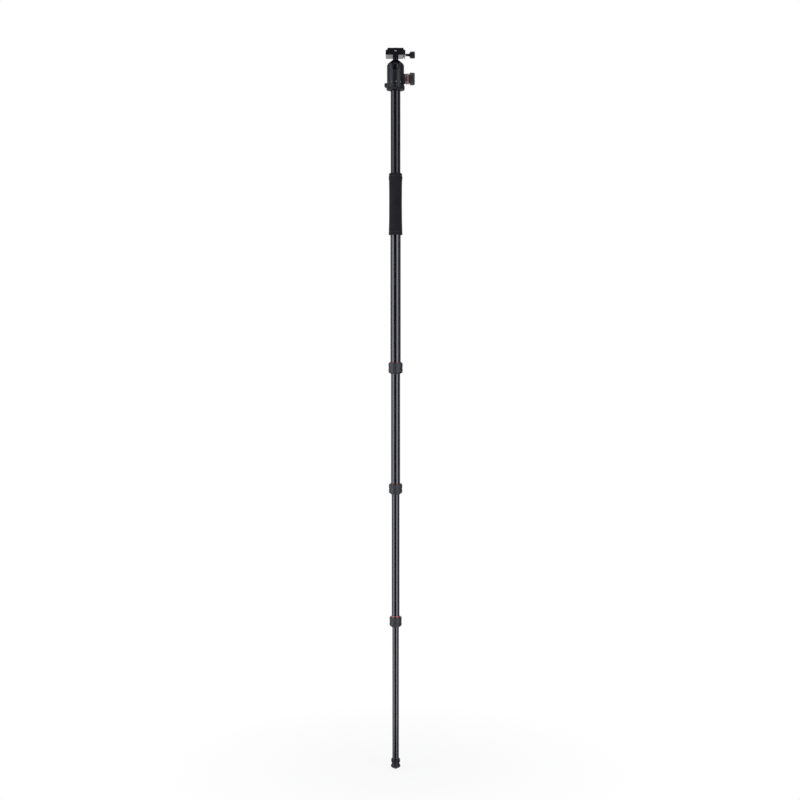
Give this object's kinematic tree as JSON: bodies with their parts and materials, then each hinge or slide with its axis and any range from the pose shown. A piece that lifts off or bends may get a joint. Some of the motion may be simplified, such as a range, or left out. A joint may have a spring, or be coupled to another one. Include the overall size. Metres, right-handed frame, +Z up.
{
  "type": "camera monopod",
  "caption": "Four-section twist-lock monopod with a foam-gripped centre column, a notched ball head and a dovetail quick release clamp with its plate.",
  "frame": {"origin": "on the pole's axis, halfway up the soft grip where the hand holds it", "axes": "+Z up the pole towards the camera plate, -Y to the front, where the ball housing has its notch, +X towards the main knob and the clamp knob"},
  "size_m": [0.0728, 0.05, 1.7351],
  "materials": {
    "black_anodised": "gloss",
    "satin_black": "satin",
    "charcoal_coat": "satin",
    "red_anodised": "polished",
    "collar_plastic": "matte",
    "grip_rubber": "matte",
    "foam": "matte",
    "steel": "satin",
    "brass": "satin",
    "nylon": "satin",
    "ball_black": "satin"
  },
  "bodies": {
    "upper_leg": {"leg_tube_1": "black_anodised", "leg_cap": "satin_black", "column_fitting": "satin_black", "column_tube": "black_anodised", "platform": "satin_black", "head_stud": "steel", "platform_grub_screws": "steel", "grip_sleeve": "foam", "lock_1_ferrule": "satin_black", "lock_1_trim_ring": "red_anodised", "pan_base": "charcoal_coat", "pan_washer": "nylon", "pan_retainer": "steel", "pan_retainer_screws": "steel"},
    "lock_1_bush": {"lock_1_bush": "nylon"},
    "lock_1_collar": {"lock_1_collar": "collar_plastic", "lock_1_grip": "grip_rubber", "lock_1_wiper": "grip_rubber"},
    "leg_stage_2": {"leg_tube_2": "black_anodised", "leg_tube_2_shims": "nylon", "lock_2_ferrule": "satin_black", "lock_2_trim_ring": "red_anodised"},
    "lock_2_bush": {"lock_2_bush": "nylon"},
    "lock_2_collar": {"lock_2_collar": "collar_plastic", "lock_2_grip": "grip_rubber", "lock_2_wiper": "grip_rubber"},
    "leg_stage_3": {"leg_tube_3": "black_anodised", "leg_tube_3_shims": "nylon", "lock_3_ferrule": "satin_black", "lock_3_trim_ring": "red_anodised"},
    "lock_3_bush": {"lock_3_bush": "nylon"},
    "lock_3_collar": {"lock_3_collar": "collar_plastic", "lock_3_grip": "grip_rubber", "lock_3_wiper": "grip_rubber"},
    "leg_stage_4": {"leg_tube_4": "black_anodised", "leg_tube_4_shims": "nylon", "foot_plug": "collar_plastic", "rubber_foot": "grip_rubber"},
    "head": {"ball_housing": "charcoal_coat", "floor_ring": "brass", "ball_seat_ring": "nylon"},
    "pan_lock_pad": {"pan_lock_pad": "brass"},
    "pan_lock_knob": {"pan_lock_knob": "collar_plastic"},
    "ball_cup": {"ball_cup": "nylon"},
    "main_wedge": {"main_wedge": "steel"},
    "main_knob": {"main_screw": "steel", "main_trim_ring": "red_anodised", "main_knob": "collar_plastic", "main_knob_grip": "grip_rubber"},
    "ball": {"ball_and_stem": "ball_black"},
    "clamp": {"clamp_body": "satin_black", "clamp_bolt": "steel"},
    "clamp_jaw": {"clamp_jaw": "satin_black", "jaw_guide_pins": "steel"},
    "clamp_knob": {"clamp_knob": "collar_plastic", "clamp_screw": "steel"},
    "plate": {"release_plate": "satin_black", "plate_pads": "grip_rubber", "plate_screws": "steel"},
    "camera_screw": {"camera_screw": "steel"}
  },
  "joints": [
    {"name": "leg_stage_2_slide", "type": "slide", "parent": "upper_leg", "child": "leg_stage_2", "axis": [0, 0, 1], "range_m": [0, 0.26]},
    {"name": "lock_1_bush_slide", "type": "slide", "parent": "upper_leg", "child": "lock_1_bush", "axis": [0, 0, -1], "range_m": [0, 0.001]},
    {"name": "lock_1_collar_turn", "type": "hinge", "parent": "lock_1_bush", "child": "lock_1_collar", "pos_m": [0, 0, -0.37865], "axis": [0, 0, -1], "range_deg": [0, 180]},
    {"name": "leg_stage_3_slide", "type": "slide", "parent": "leg_stage_2", "child": "leg_stage_3", "axis": [0, 0, 1], "range_m": [0, 0.2925]},
    {"name": "lock_2_bush_slide", "type": "slide", "parent": "leg_stage_2", "child": "lock_2_bush", "axis": [0, 0, -1], "range_m": [0, 0.001]},
    {"name": "lock_2_collar_turn", "type": "hinge", "parent": "lock_2_bush", "child": "lock_2_collar", "pos_m": [0, 0, -0.67035], "axis": [0, 0, -1], "range_deg": [0, 180]},
    {"name": "leg_stage_4_slide", "type": "slide", "parent": "leg_stage_3", "child": "leg_stage_4", "axis": [0, 0, 1], "range_m": [0, 0.3199]},
    {"name": "lock_3_bush_slide", "type": "slide", "parent": "leg_stage_3", "child": "lock_3_bush", "axis": [0, 0, -1], "range_m": [0, 0.001]},
    {"name": "lock_3_collar_turn", "type": "hinge", "parent": "lock_3_bush", "child": "lock_3_collar", "pos_m": [0, 0, -0.99235], "axis": [0, 0, -1], "range_deg": [0, 180]},
    {"name": "head_pan", "type": "hinge", "parent": "upper_leg", "child": "head", "pos_m": [0, 0, 0.27975], "axis": [0, 0, 1], "continuous": true},
    {"name": "pan_lock_pad_slide", "type": "slide", "parent": "head", "child": "pan_lock_pad", "axis": [-0.866, 0.5, 0], "range_m": [0, 0.0007]},
    {"name": "pan_lock_knob_turn", "type": "hinge", "parent": "pan_lock_pad", "child": "pan_lock_knob", "pos_m": [0, 0, 0.28301], "axis": [-0.866, 0.5, 0], "range_deg": [0, 360]},
    {"name": "main_wedge_slide", "type": "slide", "parent": "head", "child": "main_wedge", "axis": [1, 0, 0], "range_m": [0, 0.000625]},
    {"name": "main_knob_turn", "type": "hinge", "parent": "main_wedge", "child": "main_knob", "pos_m": [0, 0, 0.29615], "axis": [1, 0, 0], "range_deg": [0, 180]},
    {"name": "ball_cup_drop", "type": "slide", "parent": "head", "child": "ball_cup", "axis": [0, 0, -1], "range_m": [0, 0.000361]},
    {"name": "ball_tilt", "type": "hinge", "parent": "head", "child": "ball", "pos_m": [0, 0, 0.32355], "axis": [1, 0, 0], "range_deg": [-30, 90]},
    {"name": "clamp_spin", "type": "hinge", "parent": "ball", "child": "clamp", "pos_m": [0, 0, 0.34805], "axis": [0, 0, 1], "continuous": true},
    {"name": "clamp_jaw_slide", "type": "slide", "parent": "clamp", "child": "clamp_jaw", "axis": [1, 0, 0], "range_m": [0, 0.00315]},
    {"name": "clamp_knob_turn", "type": "hinge", "parent": "clamp_jaw", "child": "clamp_knob", "pos_m": [0, 0, 0.35255], "axis": [1, 0, 0], "range_deg": [0, 1620]},
    {"name": "plate_slide", "type": "slide", "parent": "clamp", "child": "plate", "axis": [0, 1, 0], "range_m": [-0.0055, 0.0055]},
    {"name": "camera_screw_turn", "type": "hinge", "parent": "plate", "child": "camera_screw", "pos_m": [0, 0, 0.36445], "axis": [0, 0, 1], "continuous": true}
  ],
  "couplings": [
    {"joint": "lock_1_bush_slide", "follows": "lock_1_collar_turn", "m_per_rad": 0.0003183},
    {"joint": "lock_2_bush_slide", "follows": "lock_2_collar_turn", "m_per_rad": 0.0003183},
    {"joint": "lock_3_bush_slide", "follows": "lock_3_collar_turn", "m_per_rad": 0.0003183},
    {"joint": "pan_lock_knob_turn", "follows": "pan_lock_pad_slide", "rad_per_m": 8976},
    {"joint": "main_knob_turn", "follows": "main_wedge_slide", "rad_per_m": 5026.5},
    {"joint": "ball_cup_drop", "follows": "main_wedge_slide", "ratio": 0.57735},
    {"joint": "clamp_knob_turn", "follows": "clamp_jaw_slide", "rad_per_m": 8976}
  ]
}
